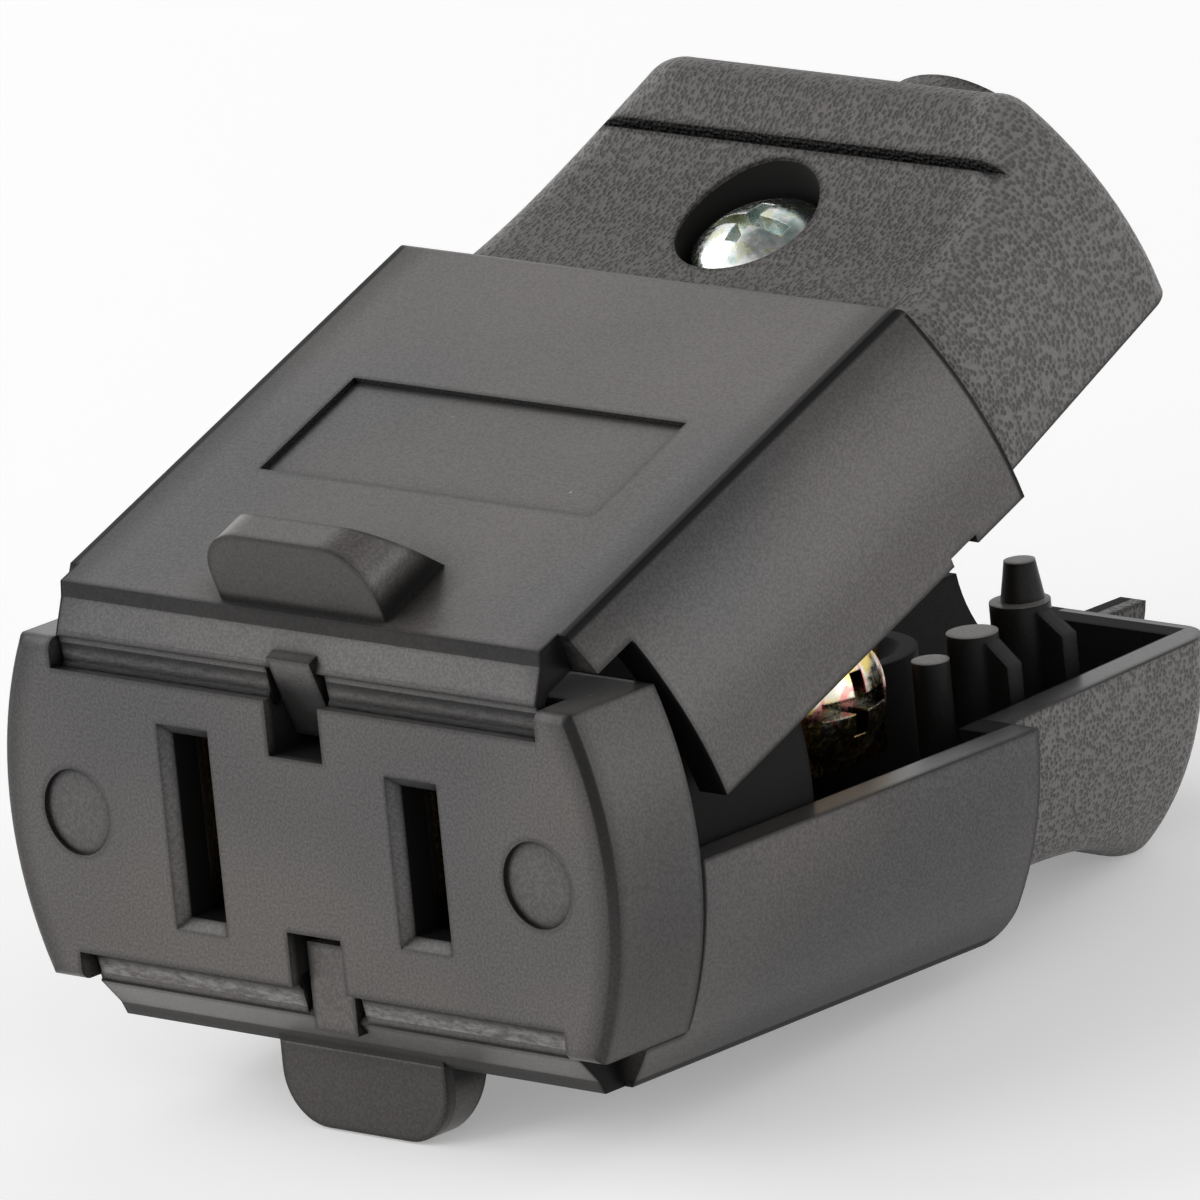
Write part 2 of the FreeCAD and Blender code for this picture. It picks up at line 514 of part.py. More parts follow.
def make_cover(label, half):
    """Shell that both covers share, drawn as the closed upper one: body, neck, collar, lip and tab.
    half names the sizes in which the upper and the lower one differ."""
    body = new_body(label)
    shell = pad_back(body, "shell", half_section(across(body, "shell_outline", "cover_front"), "body_radius",
                                                 "body_half_height", "rim_z"), "body_rear - cover_front")
    rear, flat = number("body_rear"), number("body_half_height")
    dress(body, "Fillet", "shoulder", shell, lambda p: near(p.y, rear) and near(p.z, flat), "Radius",
          f"{half}_shoulder_round")
    pad_back(body, "brow", half_section(across(body, "brow_outline", "brow_front"), "body_radius",
                                        "body_half_height", "brow_z"), "cover_front - brow_front")
    lip = sketch_on(body, "YZ_Plane", "lip_outline", offset=f"-lip_half")
    step_y, step_z = "(lip_top - lip_step_run)", "(body_half_height - lip_step)"
    foot_y = "(lip_nose_y + lip_step_run)"
    outline(lip, [("brow_front", "brow_z"), ("brow_front", "body_half_height"), ("lip_top", "body_half_height"),
                  (step_y, step_z), ("lip_nose_y", "lip_nose_z"), (foot_y, "lip_nose_z - lip_under"),
                  ("rebate_depth - hinge_end_gap", "brow_z")])
    feature(body, "Pad", "lip", lip, f"2 * lip_half")
    tongue = sketch_on(body, "YZ_Plane", "tongue_outline", offset="tongue_clearance - notch_half")
    rectangle(tongue, "tongue_front", "tongue_front + tongue_thickness", "tongue_tip",
              "lip_nose_z + tongue_rise")
    feature(body, "Pad", "tongue", tongue, "2 * (notch_half - tongue_clearance)")
    for name, start in (("left", f"-lip_half"), ("right", "notch_half + hinge_end_gap")):
        length = f"lip_half - notch_half - hinge_end_gap"
        web = sketch_on(body, "YZ_Plane", f"{name}_web_outline", offset=start)
        slim, top = "web_thickness / 2", f"brow_z + part_gap"
        outline(web, [(f"hinge_y - {slim}", "hinge_z"), (f"hinge_y + {slim}", "hinge_z"),
                      (f"hinge_y + web_lean + {slim}", top), (f"hinge_y + web_lean - {slim}", top)])
        feature(body, "Pad", f"{name}_web", web, length)
        bead = sketch_on(body, "YZ_Plane", f"{name}_bead_outline", offset=start)
        feature(body, "Pad", f"{name}_bead", ring(bead, "hinge_y", "hinge_z", "bead_radius"), length)
    neck = flared_loft(body, "PartDesign::AdditiveLoft", "neck", "body_rear", "neck_rear", "0", "rim_z")
    shoulder_y, end_y = number("body_rear") - 1e-3, number("neck_rear")
    dress(body, "Fillet", "neck_edges", neck,
          lambda p: near(p.y, end_y) and math.hypot(p.x, p.z) > end_y / 5
          or p.y > shoulder_y and abs(p.z - number(neck_flat(str(p.y)))) < 0.1 and abs(p.x) > 1.0,
          "Radius", "neck_round")
    tab = pad_back(body, "tab", rectangle(across(body, "tab_outline", f"{half}_tab_front"), "-tab_half", "tab_half",
                                          "body_half_height - cover_wall / 2", "tab_top"),
                   f"{half}_tab_depth")
    tab_top = number("tab_top")
    dress(body, "Fillet", "tab_corners", tab,
          lambda p: near(p.z, tab_top) and near(abs(p.x), number("tab_half")), "Radius", "tab_round")
    slope = sketch_on(body, "YZ_Plane", "tab_slope_outline", offset=f"tab_half + {CUT_MARGIN}")
    crest, foot = f"({half}_tab_front + tab_crest)", f"({half}_tab_front + {half}_tab_depth)"
    behind, over = f"{foot} + {CUT_MARGIN}", f"tab_top + {CUT_MARGIN}"
    outline(slope, [(crest, "tab_top"), (foot, "body_half_height"), (behind, "body_half_height"),
                    (behind, over), (crest, over)])
    feature(body, "Pocket", "tab_slope", slope, f"2 * (tab_half + {CUT_MARGIN})")
    pad_back(body, "collar", half_section(across(body, "collar_outline", "throat_rear"), "collar_radius",
                                          "collar_radius * 0.999", "collar_gap"), "collar_rear - throat_rear")
    hollow(body)
    return body


def flared_loft(body, kind, name, front, rear, inset, foot):
    """Loft of the neck's outside, or of the space inside it, through four sections."""
    made = body.newObject(kind, f"{body.Name}_{name}")
    sections = []
    for step in range(4):
        y = f"({front} + ({rear} - {front}) * {step} / 3)"
        sections.append(half_section(across(body, f"{name}_outline_{step}", y), f"({neck_side(y)} - {inset})",
                                     f"({neck_flat(y)} - {inset})", foot))
    made.Profile = sections[0]
    made.Sections = sections[1:]
    made.Ruled = False
    doc.recompute()
    return made


def hollow(body):
    """Space inside a cover: the wiring bay, the neck and the way in for the cord."""
    bay = across(body, "bay_outline", "cover_front")
    half_section(bay, "body_radius - cover_wall", "body_half_height - cover_wall", f"-{CUT_MARGIN}")
    feature(body, "Pocket", "bay", bay, "throat_front - cover_front")
    flared_loft(body, "PartDesign::SubtractiveLoft", "throat", "throat_front", "throat_rear", "cover_wall",
                f"-{CUT_MARGIN}")
    entry = across(body, "entry_outline", "throat_rear")
    feature(body, "Pocket", "entry", ring(entry, "0", "0", "cord_radius"), "collar_rear - throat_rear")


def make_upper_cover():
    """Upper cover: shared shell with the screw bore, sunk panel, neck groove and rim notches."""
    body = make_cover("upper_cover", "upper")
    underside = "(clamp_seat - seat_wall)"
    boss = sketch_on(body, "XY_Plane", "boss_outline", offset=underside)
    boss_top = "(clamp_flat - cover_wall / 3)"
    feature(body, "Pad", "boss", ring(boss, "0", "clamp_y", "clamp_boss"), f"{boss_top} - {underside}")
    above = f"(body_half_height + {CUT_MARGIN})"
    bore = sketch_on(body, "XY_Plane", "bore_outline", offset=above)
    feature(body, "Pocket", "bore", ring(bore, "0", "clamp_y", "clamp_bore"), f"{above} - clamp_seat")
    hole = sketch_on(body, "XY_Plane", "hole_outline", offset=above)
    feature(body, "Pocket", "hole", ring(hole, "0", "clamp_y", "clamp_shank + clamp_shank_gap"), above)
    panel = sketch_on(body, "XY_Plane", "panel_outline", offset="body_half_height")
    feature(body, "Pocket", "panel", rectangle(panel, "-panel_half", "panel_half", "panel_front", "panel_rear"),
            "panel_depth")
    groove = sketch_on(body, "XY_Plane", "groove_outline", offset=above)
    rectangle(groove, "-neck_root_radius", "neck_root_radius", "groove_y - groove_width / 2",
              "groove_y + groove_width / 2")
    feature(body, "Pocket", "groove", groove, f"{above} - {neck_flat('groove_y')} + groove_depth")
    notch = sketch_on(body, "XY_Plane", "rim_notch_outline", offset=f"rim_z + rim_notch_depth")
    for side in ("", "-"):
        rectangle(notch, f"{side}(body_radius - cover_wall / 2)", f"{side}(body_radius + {CUT_MARGIN})",
                  "rim_notch_y - rim_notch_width / 2", "rim_notch_y + rim_notch_width / 2")
    feature(body, "Pocket", "rim_notches", notch, f"rim_notch_depth + {CUT_MARGIN}")
    return body


def make_lower_cover():
    """Lower cover: shared shell with the screw boss. It is drawn as a closed upper cover and turned
    over about Y."""
    body = make_cover("lower_cover", "lower")
    boss = sketch_on(body, "XY_Plane", "boss_outline", offset="boss_drop")
    boss_foot = "(clamp_flat - cover_wall / 3)"
    feature(body, "Pad", "boss", ring(boss, "0", "clamp_y", "lower_boss"), f"{boss_foot} - boss_drop")
    pilot = sketch_on(body, "XY_Plane", "pilot_outline", offset="boss_drop")
    pilot_cut = feature(body, "Pocket", "pilot", ring(pilot, "0", "clamp_y", "pilot"),
                        "pilot_depth - boss_drop", reverse=True)
    level, pilot_y = number("boss_drop"), number("clamp_y")
    reach = number("pilot") + 0.1
    mouth = dress(body, "Chamfer", "pilot_mouth", pilot_cut,
                  lambda p: near(p.z, level) and math.hypot(p.x, p.y - pilot_y) < reach,
                  "Size", "pilot_flare")
    mouth.ChamferType = "Two distances"
    mouth.setExpression("Size2", bound("pilot_flare_depth"))
    doc.recompute()
    turn_over(body)
    return body


def make_wire_guide(label, side):
    """Wire guides on the floor of the lower neck: three posts on a strip, two of them ribbed, and a locating
    pin on the rear one. They are turned over with the lower cover, so that side is the other one there."""
    body = new_body(label)
    rail = sketch_on(body, "XY_Plane", "rail_outline", offset="guide_foot - rail_height")
    rectangle(rail, f"{side}(guide_rear_x + rail_inset)", f"{side}(guide_x + rail_inset)",
              "guide_first_y", "guide_rear_y")
    feature(body, "Pad", "rail", rail, "rail_height")
    for name, x in (("first", "guide_x"), ("middle", "guide_x"), ("rear", "guide_rear_x")):
        y, top, radius = f"guide_{name}_y", f"guide_{name}_top", f"guide_{name}_radius"
        post = sketch_on(body, "XY_Plane", f"{name}_post_outline", offset=f"-{top}")
        feature(body, "Pad", f"{name}_post", ring(post, f"{side}{x}", y, radius), f"{top} + guide_foot")
        if name != "first":
            shoulder = f"-{top} + rib_drop / 4"
            end = f"{side}({x} + 2 * {radius})"
            rib = across(body, f"{name}_rib_outline", f"{y} - rib_thickness / 2")
            outline(rib, [(f"{side}{x}", shoulder), (f"{side}({x} + {radius})", shoulder),
                          (end, f"-{top} + rib_drop"), (end, "rib_foot"), (f"{side}{x}", "rib_foot")])
            pad_back(body, f"{name}_rib", rib, "rib_thickness")
    profile = sketch_on(body, "XZ_Plane", "pin_profile", offset="-(guide_rear_y + guide_pin_offset)",
                        right=f"{side}guide_rear_x")
    outline(profile, [("0", "-guide_pin_top"), ("guide_pin_tip", "-guide_pin_top"),
                      ("guide_pin_radius", "-guide_rear_top"), ("guide_pin_radius", "0"), ("0", "0")])
    turned(body, "pin", profile, "V_Axis")
    turn_over(body)
    return body


def turn_over(body):
    """Turn a piece of the lower half from the closed upper cover's place to its own."""
    body.Placement = FreeCAD.Placement(FreeCAD.Vector(), FreeCAD.Rotation(FreeCAD.Vector(0, 1, 0), 180))


def swing_open(body):
    """Turn a piece of the upper cover about its hinge axis, by the angle at which it stands open."""
    turn = "open_angle * 1deg"
    body.Placement = FreeCAD.Placement(FreeCAD.Vector(), FreeCAD.Rotation(FreeCAD.Vector(1, 0, 0), 1.0))
    body.setExpression("Placement.Rotation.Angle", bound("open_angle"))
    body.setExpression("Placement.Base.y", bound(f"hinge_y * (1 - cos({turn})) + hinge_z * sin({turn})"))
    body.setExpression("Placement.Base.z", bound(f"hinge_z * (1 - cos({turn})) - hinge_y * sin({turn})"))


PIECES = [
    make_face_block(),
    make_contact("neutral_contact", "-", "neutral_slot_height"),
    make_contact("hot_contact", "", "hot_slot_height"),
    make_terminal_screw("neutral_screw", "-"),
    make_terminal_screw("hot_screw", ""),
    make_upper_cover(),
    make_lower_cover(),
    make_wire_guide("neutral_wire_guide", ""),
    make_wire_guide("hot_wire_guide", "-"),
    make_clamp_screw(),
]
for piece in PIECES:
    if piece.Label in ("upper_cover", "clamp_screw"):
        swing_open(piece)
doc.recompute()

for item in doc.Objects:
    if "Invalid" in item.State or "Error" in item.State:
        raise RuntimeError(f"{item.Name} failed: {item.State}")
for piece in PIECES:
    if piece.Shape.isNull() or not piece.Shape.isValid() or len(piece.Shape.Solids) != 1:
        raise RuntimeError(f"{piece.Label} is not one valid solid")

os.makedirs("parts", exist_ok=True)
for piece in PIECES:
    piece.Shape.exportStep(f"parts/{piece.Label}.step")
    print(piece.Label, round(piece.Shape.Volume, 2), piece.Shape.BoundBox)
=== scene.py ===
"""Looks of a two-pole straight blade cord connector that stands with its upper cover ajar.

The CAD nodes keep their shapes. This script gives them moulded plastic, brass and plated steel,
adds the screw threads, and sets the camera, the lights and the floor.
Lengths are metres in the CAD frame: X across the face, Y to the cord, Z up.
The finish of a cover is laid out on the closed cover and turns with it.
"""
import json
import math

import bmesh
import bpy
from mathutils import Matrix, Vector


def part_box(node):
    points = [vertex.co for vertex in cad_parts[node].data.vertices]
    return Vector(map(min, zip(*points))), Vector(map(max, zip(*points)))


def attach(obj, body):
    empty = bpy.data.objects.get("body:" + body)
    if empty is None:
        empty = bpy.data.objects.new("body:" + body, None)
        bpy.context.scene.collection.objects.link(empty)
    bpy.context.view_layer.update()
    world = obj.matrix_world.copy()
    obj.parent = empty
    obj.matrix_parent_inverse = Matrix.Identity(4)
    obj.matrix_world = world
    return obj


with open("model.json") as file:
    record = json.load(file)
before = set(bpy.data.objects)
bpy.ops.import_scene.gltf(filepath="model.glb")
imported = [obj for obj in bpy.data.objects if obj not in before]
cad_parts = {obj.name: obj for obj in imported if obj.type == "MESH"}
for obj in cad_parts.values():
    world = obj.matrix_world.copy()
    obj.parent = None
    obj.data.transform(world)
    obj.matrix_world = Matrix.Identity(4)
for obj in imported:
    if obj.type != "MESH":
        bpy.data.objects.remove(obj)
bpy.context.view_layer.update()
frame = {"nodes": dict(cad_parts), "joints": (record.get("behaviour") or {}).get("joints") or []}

MM = 0.001
JOINTS = {joint["name"]: joint for joint in frame["joints"]}
UPPER_PIVOT = Vector(JOINTS["upper_hinge"]["pos_m"])
OPEN_ANGLE = -math.radians(JOINTS["upper_hinge"]["range_deg"][0])

# Body of a cover
BODY_RADIUS = 16.7 * MM
BODY_HALF_HEIGHT = 9.35 * MM
BODY_CREST_X = math.sqrt(BODY_RADIUS ** 2 - BODY_HALF_HEIGHT ** 2)
BODY_REAR = 26.5 * MM
SKIN = 1.42 * MM
PARTING_DEPTH = 0.15 * MM
WALL_FRONT = 5.7 * MM
WALL_INSIDE = 14.4 * MM
WALL_TOP = 7.5 * MM
GAP = 0.05 * MM

# Neck and collar of a cover
NECK_LENGTH = 14.7 * MM
NECK_START = 0.008
NECK_ROOT_RADIUS = 15.0 * MM
NECK_TAPER = 1.2 * MM
NECK_ROOT_HEIGHT = 7.75 * MM
NECK_DIP = 0.6 * MM
NECK_RISE = 4.1 * MM
NECK_CREST = Vector((0.0, 38.5, -9.85)) * MM
COLLAR_FRONT = 40.788 * MM
COLLAR_MIDDLE = 5.4 * MM
# Reach over which the sides of the neck turn lighter: painted light
LIT_SIDE_DEPTH = 0.8 * SKIN

# Lip, thumb tab and hinge web of a cover
LIP_REAR = 5.4 * MM
LIP_HALF = 13.4 * MM
LIP_ROOT = 3.5 * MM
STEP_TOP = 9.33 * MM
STEP_FOOT = 8.76 * MM
STEP_REAR = 2.4 * MM
TAB_SIDE = 4.14 * MM
TAB_FRONT = 2.05 * MM
TAB_FRONT_END = 2.65 * MM
TAB_REAR = 7.0 * MM
TAB_MIDDLE = 3.5 * MM
WEB_REAR = (1.7 * MM, 1.649 * MM)
WEB_TOP = 7.25 * MM
WEB_TOP_SPAN = (WEB_TOP, 0.99 * WEB_TOP)
WEB_ROOT = 6.1 * MM
WEB_BEND = (1.02 * WEB_ROOT, 1.12 * WEB_ROOT)
TONGUE_HALF = 1.6 * MM
TONGUE_REAR = 2.6 * MM
TONGUE_SPAN = (1.14 * WEB_TOP, 1.02 * WEB_ROOT)

# Face block
FLANGE_REAR = 5.35 * MM
FLANGE_RADIUS = 17.05 * MM
FLANGE_SIDE = 0.7 * FLANGE_RADIUS
SLOT_X = 6.35 * MM
SLOT_HALF_WIDTH = 1.03 * MM
SLOT_HALF_HEIGHT = 4.05 * MM
SLOT_CHAMFER = 0.5 * MM
NOTCH_HALF = 1.54 * MM
NOTCH_SPAN = (0.05 * MM, 0.5 * MM)

# Screws and guide posts; a post top is given by its front, its rear and its height
CLAMP_Y = 32.6 * MM
BORE_RADIUS = 3.4 * MM
BORE_DEPTH = 0.9 * SKIN
CLAMP_THREAD_FOOT = -1.4 * MM
CLAMP_THREAD = {"root": 1.5 * MM, "crest": 1.82 * MM, "pitch": 1.05 * MM, "turns": 6}
TERMINAL_Y = 23.8 * MM
TERMINAL_Z = 0.9 * MM
TERMINAL_THREAD_FOOT = 4.3 * MM
TERMINAL_THREAD = {"root": 1.6 * MM, "crest": 1.78 * MM, "pitch": 0.7 * MM, "turns": 4}
THREAD_FLANK = 0.42
WELD = 1e-7
STEPS_PER_TURN = 28
POST_TOPS = ((26.0 * MM, 28.4 * MM, 1.9 * MM), (28.6 * MM, 31.6 * MM, 2.4 * MM),
             (32.6 * MM, 36.0 * MM, 2.5 * MM), (33.0 * MM, 36.5 * MM, 4.2 * MM))
POST_TOP_DEPTH = 0.03 * MM

# Reach of the painted dark lines of shade: where a line ends and where it is full
CREST_LINE = (0.52 * MM, 0.22 * MM)
CREST_SHOULDER = (2.4 * MM, 0.3 * MM)
REAR_LINE = (0.3 * MM, 0.12 * MM)
REAR_LINE_TOP = 0.96 * BODY_HALF_HEIGHT
FLANGE_LINE = (0.5 * MM, 0.3 * MM)
FLANGE_SHOULDER = (1.6 * MM, 0.3 * MM)
FLANGE_LINE_FADE = (-0.5 * BODY_HALF_HEIGHT, 0.5 * BODY_HALF_HEIGHT)
FLANGE_SIDE_FADE = (0.6 * BODY_HALF_HEIGHT, -0.6 * BODY_HALF_HEIGHT)
JOINT_LINE = (WALL_FRONT + 6 * GAP, WALL_FRONT + 2 * GAP)
WEB_LINE = (WEB_TOP - 14 * GAP, WEB_TOP - 2 * GAP)
TAB_FOOT = (BODY_HALF_HEIGHT + 1.3 * MM, BODY_HALF_HEIGHT + 0.5 * MM)

# Darkness of the painted shade, from 0 for none to 1 for full shade
SHOULDER_SHADE = (0.0, 0.4)
FLANGE_LINE_SHADE = (0.55, 0.9)
FLANGE_SIDE_SHADE = (0.12, 0.32)
TAB_FRONT_SHADE = 0.45
TAB_FOOT_SHADE = 0.8
STEP_SHADE = 0.75
PARTING_SHADE = 0.4
WEB_SHADE = 0.85
EDGE_SHADE = 0.9
PIT_SHADE = 0.5

# Textures: repeats per metre, spans of their values and what the spans turn into
CLOUD_SCALE, SPECKLE_SCALE, WARMTH_SCALE, SPECK_SCALE = 70.0, 8000.0, 60.0, 420.0
GRAIN_SCALE, SWELL_SCALE = 4700.0, 3000.0
STREAK_SCALE, PATCH_SCALE = 3800.0, 240.0
BLOTCH_SCALE, SCUFF_SCALE, FLUSH_SCALE = 620.0, 4200.0, 900.0
NOISE_SPAN = (0.3, 0.7)
# Broad tone of the mottling, partly a painted sheen that varies over the faces
CLOUD_TONES = (0.84, 1.12)
SPECKLE_TONES = (-0.24, 0.24)
SKIN_ROUGHNESS = (0.28, 0.36)
WARMTH_SPAN = (0.35, 0.6)
SPECK_SPAN = (0.035, 0.015)
SPECK_RARITY = 0.8
GRAIN_SPAN = (0.7, 0.1)
SWELL_SHARE = 0.5
STREAK_DRAW = (0.35, 1.0, 1.0)
STREAK_SPAN = (0.36, 0.64)
PATCH_SPAN = (0.25, 0.6)
PATCH_WHITE = (0.6, 1.0)
BLOTCH_SPAN = (0.42, 0.66)
FLUSH_SPAN = (0.54, 0.64)
PLATING_ROUGHNESS = (0.16, 0.30)

# Relief of the surfaces
EDGE_SOFTNESS = 0.4 * MM
EDGE_SAMPLES = 2
EDGE_SPAN = (0.997, 0.94)
CREASE_REACH = 2.2 * MM
RECESS_REACH = 0.9 * MM
CREASE_SAMPLES = 2
CREASE_SPAN = (0.95, 0.45)
SKIN_DEPTH = 0.002 * MM
INNER_SKIN_DEPTH = 0.004 * MM
PLATING_DEPTH = 0.004 * MM
GRAIN_DEPTH = 0.11 * MM
SKIN_SHARE = 0.02
STREAK_SHARE = 0.7

# Colours and gloss
PLASTIC_WARM = (0.094, 0.086, 0.081)
PLASTIC_COOL = (0.086, 0.082, 0.082)
PLASTIC_CREST = (0.118, 0.110, 0.105)
# Lighter tone of the sides of the neck: painted light
PLASTIC_LIT_SIDE = (0.205, 0.195, 0.190)
# Colours of the inside and of the dark marks: painted shade
PLASTIC_INSIDE = (0.019, 0.0182, 0.0178)
PLASTIC_SHADE = (0.006, 0.0058, 0.0058)
PLASTIC_GLOSS = 0.12
PLASTIC_SHEEN = 0.6
NECK_SHEEN = 0.3 * PLASTIC_SHEEN
SHEEN_ROUGHNESS = 0.3
INSIDE_ROUGHNESS = 0.75
NECK_ROUGHENING = 0.1
# Lighter tops of the guide posts: painted highlight
POST_TOP_HIGHLIGHT = (0.24, 0.225, 0.21)
STRESS_WHITE = (0.26, 0.25, 0.245)
UPPER_WHITENESS = 0.25
LOWER_WHITENESS = 0.95
BLACK = (0.0, 0.0, 0.0)
DUST = (0.40, 0.39, 0.37)
# For each metal: tone, tint, flush and the darkness of the painted shade in its recesses
ZINC = (0.76, 0.78, 0.76)
ZINC_TINT = (0.46, 0.58, 0.55)
ZINC_FLUSH = (0.66, 0.68, 0.52)
ZINC_RECESS_SHADE = 0.2
GOLD = (0.80, 0.62, 0.20)
GOLD_TINT = (0.82, 0.79, 0.66)
GOLD_FLUSH = (0.80, 0.34, 0.30)
GOLD_RECESS_SHADE = 1.0
BRASS = (0.60, 0.42, 0.17)
BRASS_TINT = (0.34, 0.22, 0.09)
BRASS_FLUSH = (0.50, 0.29, 0.12)
BRASS_RECESS_SHADE = 0.1

# Camera fitted to the photograph
CAMERA_PLACE = Vector((521.3, -526.4, 207.1)) * MM
CAMERA_TARGET = Vector((-1.03, 19.83, 5.20)) * MM
CAMERA_ROLL = math.radians(5.576)
CAMERA_LENS = 566.6
CAMERA_CLIP = 0.01
SENSOR_WIDTH = 36.0

# Floor, sky and lamps; a lamp is given by its place, the size of its disk and its power
FLOOR_TONE = (0.86, 0.86, 0.86)
FLOOR_GLOW = 0.28
FLOOR_SIZE = 4.0
SKY_LIGHT = (0.7, 1.0)
SKY_TOP = (0.78, 0.93)
SKY_TOP_LIGHT = (1.0, 0.2)
LAMPS = {
    "key_lamp": (Vector((-0.75, -0.15, 0.5)), 0.6, 2.0),
    "front_lamp": (Vector((-0.35, -0.6, 0.35)), 0.5, 1.5),
    "side_lamp": (Vector((0.65, 0.35, 0.12)), 0.4, 0.7),
}


def link(tree, value, socket):
    """Link a socket to an input, or give the input a plain value."""
    if isinstance(value, bpy.types.NodeSocket):
        tree.links.new(value, socket)
    else:
        socket.default_value = value


def add(tree, kind, inputs=None, **properties):
    """New node with its properties set and its inputs given a value or linked to a socket."""
    made = tree.nodes.new(kind)
    for name, value in properties.items():
        setattr(made, name, value)
    for name, value in (inputs or {}).items():
        link(tree, value, made.inputs[name])
    return made


def calc(tree, operation, first, second=0.0):
    """Result of a Math node."""
    return add(tree, "ShaderNodeMath", {0: first, 1: second}, operation=operation).outputs[0]


def chain(tree, operation, values):
    """Result of one Math operation over several values."""
    result = values[0]
    for value in values[1:]:
        result = calc(tree, operation, result, value)
    return result


def product(tree, *values):
    return chain(tree, "MULTIPLY", values)


def total(tree, *values):
    return chain(tree, "ADD", values)


def largest(tree, *values):
    return chain(tree, "MAXIMUM", values)


def minus(tree, first, second):
    return calc(tree, "SUBTRACT", first, second)


def above(tree, value, limit):
    """1 where a value is over a limit, else 0."""
    return calc(tree, "GREATER_THAN", value, limit)


def below(tree, value, limit):
    """1 where a value is under a limit, else 0."""
    return calc(tree, "LESS_THAN", value, limit)


def within(tree, value, low, high):
    """1 where a value lies between two limits, else 0."""
    return product(tree, above(tree, value, low), below(tree, value, high))


def size_of(tree, value):
    return calc(tree, "ABSOLUTE", value)


def length_of(tree, first, second):
    """Length of a vector with two parts."""
    squares = [calc(tree, "POWER", value, 2.0) for value in (first, second)]
    return calc(tree, "SQRT", total(tree, *squares))


def ramp(tree, value, low, high, start=0.0, end=1.0):
    """Smooth step of a value from start at low to end at high."""
    spans = {"Value": value, "From Min": low, "From Max": high, "To Min": start, "To Max": end}
    return add(tree, "ShaderNodeMapRange", spans, interpolation_type="SMOOTHSTEP").outputs["Result"]


def mix_colour(tree, factor, first, second):
    """Colour between two others, by a factor."""
    made = add(tree, "ShaderNodeMix", data_type="RGBA")
    link(tree, factor, made.inputs["Factor"])
    for socket, value in (("A", first), ("B", second)):
        colour = next(item for item in made.inputs if item.name == socket and item.type == "RGBA")
        link(tree, value if isinstance(value, bpy.types.NodeSocket) else (*value, 1.0), colour)
    return next(item for item in made.outputs if item.type == "RGBA")


def blend_values(tree, factor, first, second):
    """Value between two others, by a factor."""
    made = add(tree, "ShaderNodeMix", data_type="FLOAT")
    for socket, value in (("Factor", factor), ("A", first), ("B", second)):
        link(tree, value, made.inputs[socket])
    return made.outputs[0]


def split(tree, place):
    """X, Y and Z of a place."""
    return add(tree, "ShaderNodeSeparateXYZ", {"Vector": place}).outputs


def noise(tree, place, scale, detail, **more):
    """Value of a noise texture."""
    inputs = {"Vector": place, "Scale": scale, "Detail": detail, **more}
    return add(tree, "ShaderNodeTexNoise", inputs).outputs[0]


def cells(tree, place, scale, **more):
    """Outputs of a Voronoi texture."""
    return add(tree, "ShaderNodeTexVoronoi", {"Vector": place, "Scale": scale, **more}).outputs


def new_group(name, *outputs):
    """Shader node group with a place as its input and values as its outputs."""
    group = bpy.data.node_groups.new(name, "ShaderNodeTree")
    group.interface.new_socket("Vector", in_out="INPUT", socket_type="NodeSocketVector")
    for socket in outputs:
        group.interface.new_socket(socket, in_out="OUTPUT", socket_type="NodeSocketFloat")
    place = group.nodes.new("NodeGroupInput").outputs["Vector"]
    return group, place, group.nodes.new("NodeGroupOutput").inputs


def cover_edges(group, axes, behind, radius):
    """Painted shade of a cover: dark lines along its crest, its rear edge, its seams and the ends of its lip,
    on the fronts and feet of the thumb tabs and on the step of the lip; its parting faces are darker too.
    """
    across, height = size_of(group, axes["X"]), size_of(group, axes["Z"])
    crest = length_of(group, minus(group, across, BODY_CREST_X), minus(group, height, BODY_HALF_HEIGHT))
    crest = largest(group, ramp(group, crest, *CREST_LINE),
                    ramp(group, crest, *CREST_SHOULDER, *SHOULDER_SHADE))
    crest = product(group, crest, minus(group, 1.0, behind))
    rear = length_of(group, minus(group, axes["Y"], BODY_REAR), minus(group, radius, BODY_RADIUS))
    rear = product(group, ramp(group, rear, *REAR_LINE), within(group, axes["Z"], 0.0, REAR_LINE_TOP))
    raised = above(group, height, BODY_HALF_HEIGHT + GAP)
    tab_front = product(group, within(group, axes["Y"], TAB_FRONT, TAB_FRONT_END), raised)
    tab_foot = product(group, within(group, axes["Y"], TAB_FRONT_END, TAB_REAR), raised,
                       ramp(group, height, *TAB_FOOT), above(group, across, TAB_SIDE))
    step = product(group, within(group, height, STEP_FOOT, STEP_TOP), below(group, axes["Y"], STEP_REAR))
    parting = below(group, height, PARTING_DEPTH)
    wall_end = product(group, within(group, axes["Y"], WALL_FRONT - GAP, WALL_FRONT + GAP),
                       above(group, radius, WALL_INSIDE))
    joint = product(group, ramp(group, axes["Y"], *JOINT_LINE), below(group, axes["Z"], 0.0),
                    above(group, axes["Y"], LIP_REAR))
    seam = product(group, largest(group, wall_end, joint), below(group, height, WALL_TOP))
    lip_end = product(group, below(group, axes["Y"], LIP_ROOT),
                      within(group, across, LIP_HALF - GAP, LIP_HALF + GAP))
    return largest(group, crest, rear, seam, lip_end,
                   product(group, tab_front, TAB_FRONT_SHADE), product(group, tab_foot, TAB_FOOT_SHADE),
                   product(group, step, STEP_SHADE), product(group, parting, PARTING_SHADE))


